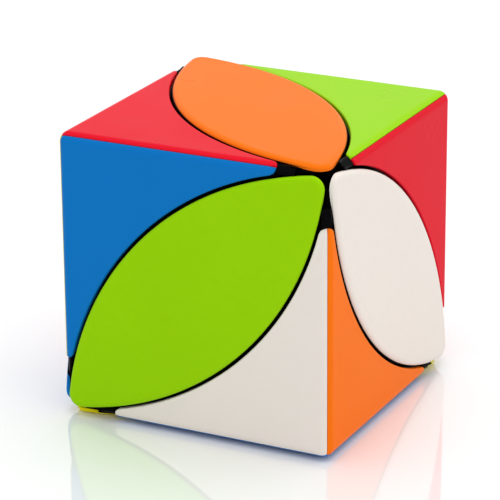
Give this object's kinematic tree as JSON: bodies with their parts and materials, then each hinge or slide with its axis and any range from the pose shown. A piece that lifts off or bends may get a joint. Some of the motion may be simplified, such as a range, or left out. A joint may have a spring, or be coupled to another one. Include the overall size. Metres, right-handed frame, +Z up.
{
  "type": "corner-turning leaf cube puzzle",
  "caption": "Cube-shaped twisty puzzle with turning corners and raised leaf-shaped face pieces in bright plastic over a black sprung mechanism.",
  "frame": {"origin": "centre of the cube, where the four turning axes meet", "axes": "+Z up; -Y to the front, +X to the right; the turning diagonals run to (-1,-1,1), (1,-1,-1), (1,1,1) and (-1,1,-1)"},
  "size_m": [0.0568, 0.0568, 0.0568],
  "materials": {
    "black_plastic": "moulded, semi-gloss",
    "core_plastic": "moulded, satin",
    "blue_plastic": "smooth moulded, soft gloss",
    "red_plastic": "smooth moulded, soft gloss",
    "yellow_plastic": "smooth moulded, soft gloss",
    "orange_plastic": "smooth moulded, soft gloss",
    "white_plastic": "smooth moulded, soft gloss",
    "green_plastic": "smooth moulded, soft gloss",
    "screw_steel": "zinc plated",
    "spring_steel": "bright drawn wire"
  },
  "bodies": {
    "core": {"core": "core_plastic", "screws": "screw_steel", "washers": "screw_steel", "springs": "spring_steel"},
    "corner_a": {"corner_base_a": "black_plastic", "tile_a_front": "blue_plastic", "tile_a_top": "red_plastic", "tile_a_left": "yellow_plastic"},
    "corner_b": {"corner_base_b": "black_plastic", "tile_b_front": "white_plastic", "tile_b_right": "orange_plastic", "tile_b_bottom": "blue_plastic"},
    "corner_c": {"corner_base_c": "black_plastic", "tile_c_top": "green_plastic", "tile_c_right": "red_plastic", "tile_c_back": "white_plastic"},
    "corner_d": {"corner_base_d": "black_plastic", "tile_d_left": "orange_plastic", "tile_d_back": "yellow_plastic", "tile_d_bottom": "green_plastic"},
    "leaf_front": {"leaf_base_front": "black_plastic", "leaf_cap_front": "green_plastic"},
    "leaf_top": {"leaf_base_top": "black_plastic", "leaf_cap_top": "orange_plastic"},
    "leaf_right": {"leaf_base_right": "black_plastic", "leaf_cap_right": "white_plastic"},
    "leaf_left": {"leaf_base_left": "black_plastic", "leaf_cap_left": "blue_plastic"},
    "leaf_back": {"leaf_base_back": "black_plastic", "leaf_cap_back": "red_plastic"},
    "leaf_bottom": {"leaf_base_bottom": "black_plastic", "leaf_cap_bottom": "yellow_plastic"}
  },
  "joints": [
    {"name": "turn_a", "type": "hinge", "parent": "core", "child": "corner_a", "pos_m": [0, 0, 0], "axis": [-0.5774, -0.5774, 0.5774], "continuous": true},
    {"name": "turn_b", "type": "hinge", "parent": "core", "child": "corner_b", "pos_m": [0, 0, 0], "axis": [0.5774, -0.5774, -0.5774], "range_deg": [-360, 360]},
    {"name": "turn_c", "type": "hinge", "parent": "core", "child": "corner_c", "pos_m": [0, 0, 0], "axis": [0.5774, 0.5774, 0.5774], "range_deg": [-360, 360]},
    {"name": "turn_d", "type": "hinge", "parent": "core", "child": "corner_d", "pos_m": [0, 0, 0], "axis": [-0.5774, 0.5774, -0.5774], "range_deg": [-360, 360]},
    {"name": "leaf_front_with_b", "type": "hinge", "parent": "corner_a", "child": "leaf_front", "pos_m": [0, 0, 0], "axis": [0.5774, -0.5774, -0.5774], "range_deg": [-360, 360]},
    {"name": "leaf_top_with_c", "type": "hinge", "parent": "corner_a", "child": "leaf_top", "pos_m": [0, 0, 0], "axis": [0.5774, 0.5774, 0.5774], "range_deg": [-360, 360]},
    {"name": "leaf_left_with_d", "type": "hinge", "parent": "corner_a", "child": "leaf_left", "pos_m": [0, 0, 0], "axis": [-0.5774, 0.5774, -0.5774], "range_deg": [-360, 360]},
    {"name": "leaf_right_with_c", "type": "hinge", "parent": "corner_b", "child": "leaf_right", "pos_m": [0, 0, 0], "axis": [0.5774, 0.5774, 0.5774], "range_deg": [-360, 360]},
    {"name": "leaf_bottom_with_d", "type": "hinge", "parent": "corner_b", "child": "leaf_bottom", "pos_m": [0, 0, 0], "axis": [-0.5774, 0.5774, -0.5774], "range_deg": [-360, 360]},
    {"name": "leaf_back_with_d", "type": "hinge", "parent": "corner_c", "child": "leaf_back", "pos_m": [0, 0, 0], "axis": [-0.5774, 0.5774, -0.5774], "range_deg": [-360, 360]}
  ],
  "couplings": [
    {"joint": "leaf_front_with_b", "follows": "turn_b", "ratio": 1},
    {"joint": "leaf_top_with_c", "follows": "turn_c", "ratio": 1},
    {"joint": "leaf_left_with_d", "follows": "turn_d", "ratio": 1},
    {"joint": "leaf_right_with_c", "follows": "turn_c", "ratio": 1},
    {"joint": "leaf_bottom_with_d", "follows": "turn_d", "ratio": 1},
    {"joint": "leaf_back_with_d", "follows": "turn_d", "ratio": 1}
  ]
}
